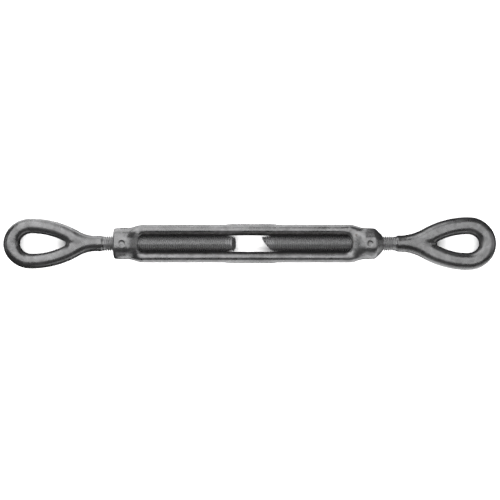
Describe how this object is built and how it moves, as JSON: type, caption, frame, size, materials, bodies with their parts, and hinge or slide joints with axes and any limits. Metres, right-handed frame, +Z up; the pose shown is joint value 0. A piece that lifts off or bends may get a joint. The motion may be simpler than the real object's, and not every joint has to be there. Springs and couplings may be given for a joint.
{
  "type": "rigging turnbuckle",
  "caption": "Eye-and-eye rigging turnbuckle: open forged body with opposite-handed hubs and two threaded teardrop eyes that move in or out together as the body is turned.",
  "frame": {"origin": "middle of the overall box in X and Y, on the plane of the hubs' lower pads in Z", "axes": "+X along the screw axis from the right-hand threaded eye to the left-hand threaded eye, +Y across the eyes and the reins, +Z up through the body's window"},
  "size_m": [0.5386, 0.0576, 0.0318],
  "materials": {
    "galvanised_body": "dull hot-dip galvanised forging",
    "galvanised_fitting": "dull hot-dip galvanised forging with a rolled thread"
  },
  "bodies": {
    "body": {"turnbuckle_body": "galvanised_body"},
    "eye_rh": {"eye_fitting_rh": "galvanised_fitting"},
    "eye_lh": {"eye_fitting_lh": "galvanised_fitting"}
  },
  "joints": [
    {"name": "take_up_rh", "type": "slide", "parent": "body", "child": "eye_rh", "axis": [-1, 0, 0], "range_m": [-0.0105, 0.1038]},
    {"name": "take_up_lh", "type": "slide", "parent": "body", "child": "eye_lh", "axis": [1, 0, 0], "range_m": [-0.0105, 0.1038]}
  ],
  "couplings": [
    {"joint": "take_up_lh", "follows": "take_up_rh", "ratio": 1}
  ]
}
